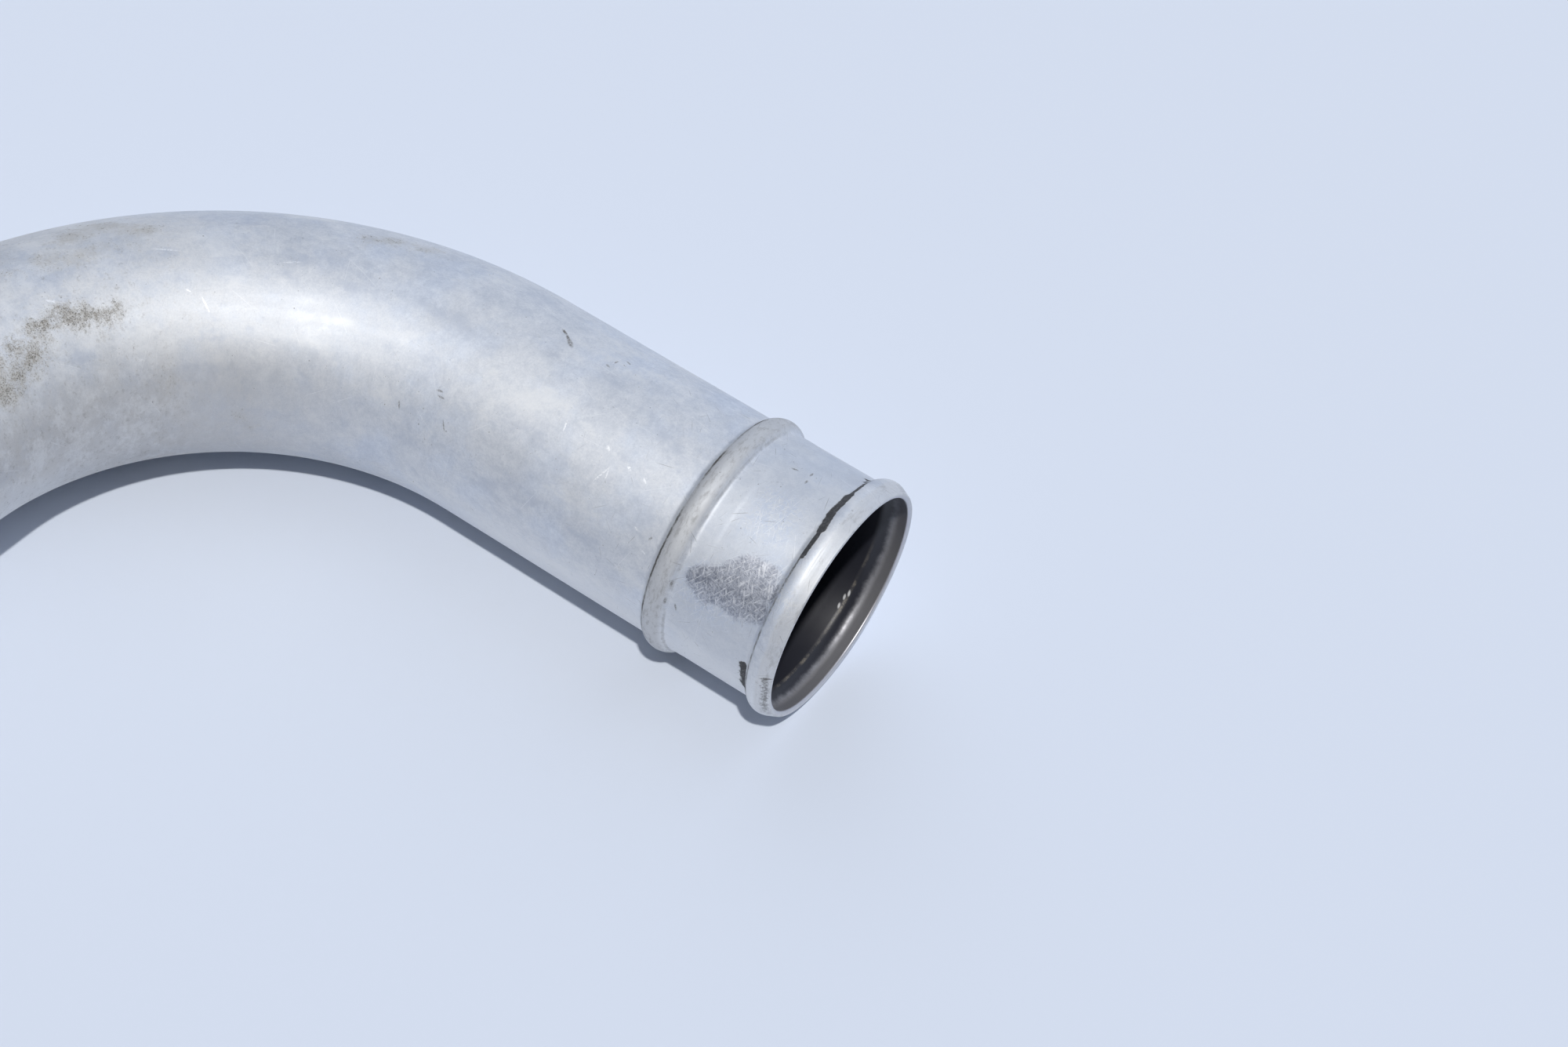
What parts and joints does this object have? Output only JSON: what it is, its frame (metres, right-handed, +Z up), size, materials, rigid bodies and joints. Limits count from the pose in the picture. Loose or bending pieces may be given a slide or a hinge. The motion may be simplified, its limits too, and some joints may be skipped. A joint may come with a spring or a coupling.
{
  "type": "charge air pipe",
  "caption": "Bent aluminium charge air pipe lying flat, open at both mouths, each end with a hose seat between a rolled stop bead and a rolled end bead.",
  "frame": {"origin": "centre of the front mouth, in the plane of its lip", "axes": "+X out of the front mouth along the front leg, -Y out of the rear mouth along the rear leg, +Z up, square to the bend's plane"},
  "size_m": [0.232, 0.212, 0.064],
  "materials": {
    "oxidised_aluminium": "satin, oxidised and lightly scratched, with grime in the bead roots"
  },
  "bodies": {
    "root": {"charge_air_pipe": "oxidised_aluminium"}
  },
  "joints": []
}
